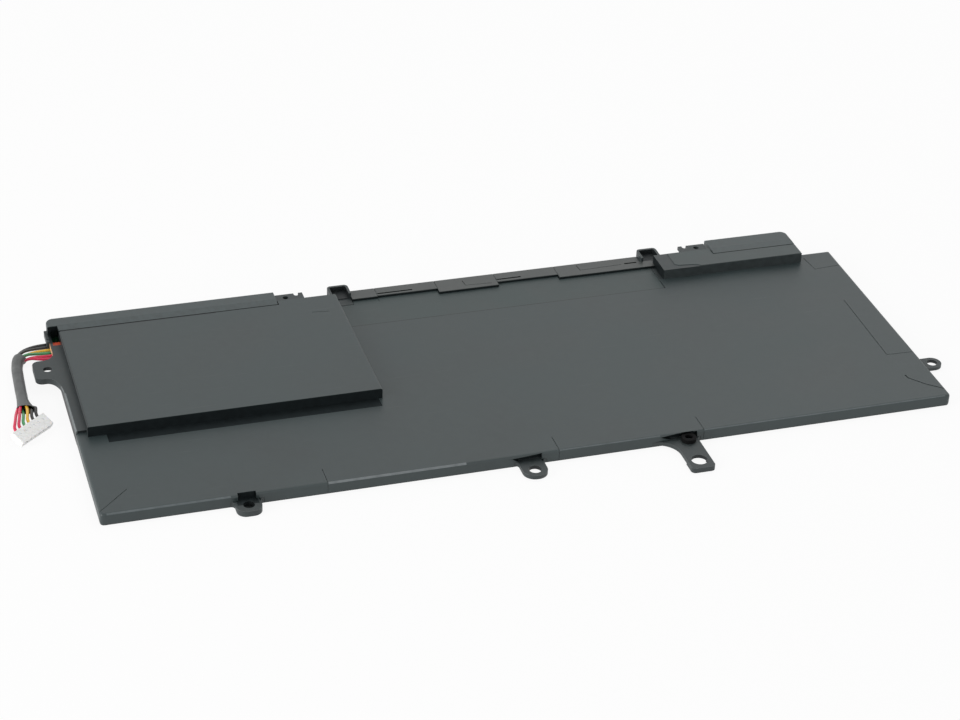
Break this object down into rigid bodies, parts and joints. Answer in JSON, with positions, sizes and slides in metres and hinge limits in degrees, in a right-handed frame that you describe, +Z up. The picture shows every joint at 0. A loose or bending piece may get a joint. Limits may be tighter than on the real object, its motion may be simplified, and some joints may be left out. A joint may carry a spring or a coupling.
{
  "type": "laptop battery",
  "caption": "Flat dark grey laptop battery pack with mounting ears, a raised left part and a short colour-wired lead with a white plug.",
  "frame": {"origin": "centre of the flat underside, halfway along the frame and halfway from its front face to its back", "axes": "+X along the pack to the right, +Y from the long front face to the back, +Z up"},
  "size_m": [0.3021, 0.127, 0.008],
  "materials": {
    "frame": "satin",
    "film": "satin",
    "cover": "satin",
    "rubber": "matt",
    "insulation_red": "satin",
    "insulation_green": "satin",
    "insulation_yellow": "satin",
    "insulation_black": "satin",
    "sleeve": "matt",
    "nylon": "satin",
    "orange_tape": "satin",
    "pouch": "satin",
    "aluminium_tab": "satin",
    "nickel": "satin",
    "laminate": "satin",
    "chip": "matt",
    "ceramic": "satin",
    "fuse": "satin",
    "solder": "satin",
    "contact": "satin",
    "adhesive": "matt"
  },
  "bodies": {
    "root": {"frame": "frame", "top_film": "film", "plateau_film": "film", "recess_film": "film", "ledge_tapes": "film", "block_film": "film", "bottom_film": "film", "board_cover": "cover", "end_cover": "cover", "ear_grommet": "rubber", "wire_red_a": "insulation_red", "wire_red_b": "insulation_red", "wire_green": "insulation_green", "wire_yellow": "insulation_yellow", "wire_black_a": "insulation_black", "wire_black_b": "insulation_black", "lead_sleeve": "sleeve", "plug_housing": "nylon", "plug_contacts": "contact", "insulating_tape": "orange_tape", "cell_left_a": "pouch", "cell_left_b": "pouch", "cell_upper": "pouch", "cell_right_a": "pouch", "cell_right_b": "pouch", "cell_right_c": "pouch", "cell_tabs_plus": "aluminium_tab", "cell_tabs_minus": "nickel", "link_strips": "nickel", "protection_board": "laminate", "gauge_chip": "chip", "power_transistors": "chip", "board_fuse": "fuse", "sense_resistor": "chip", "capacitors": "ceramic", "solder_joints": "solder", "cell_adhesive": "adhesive"}
  },
  "joints": []
}
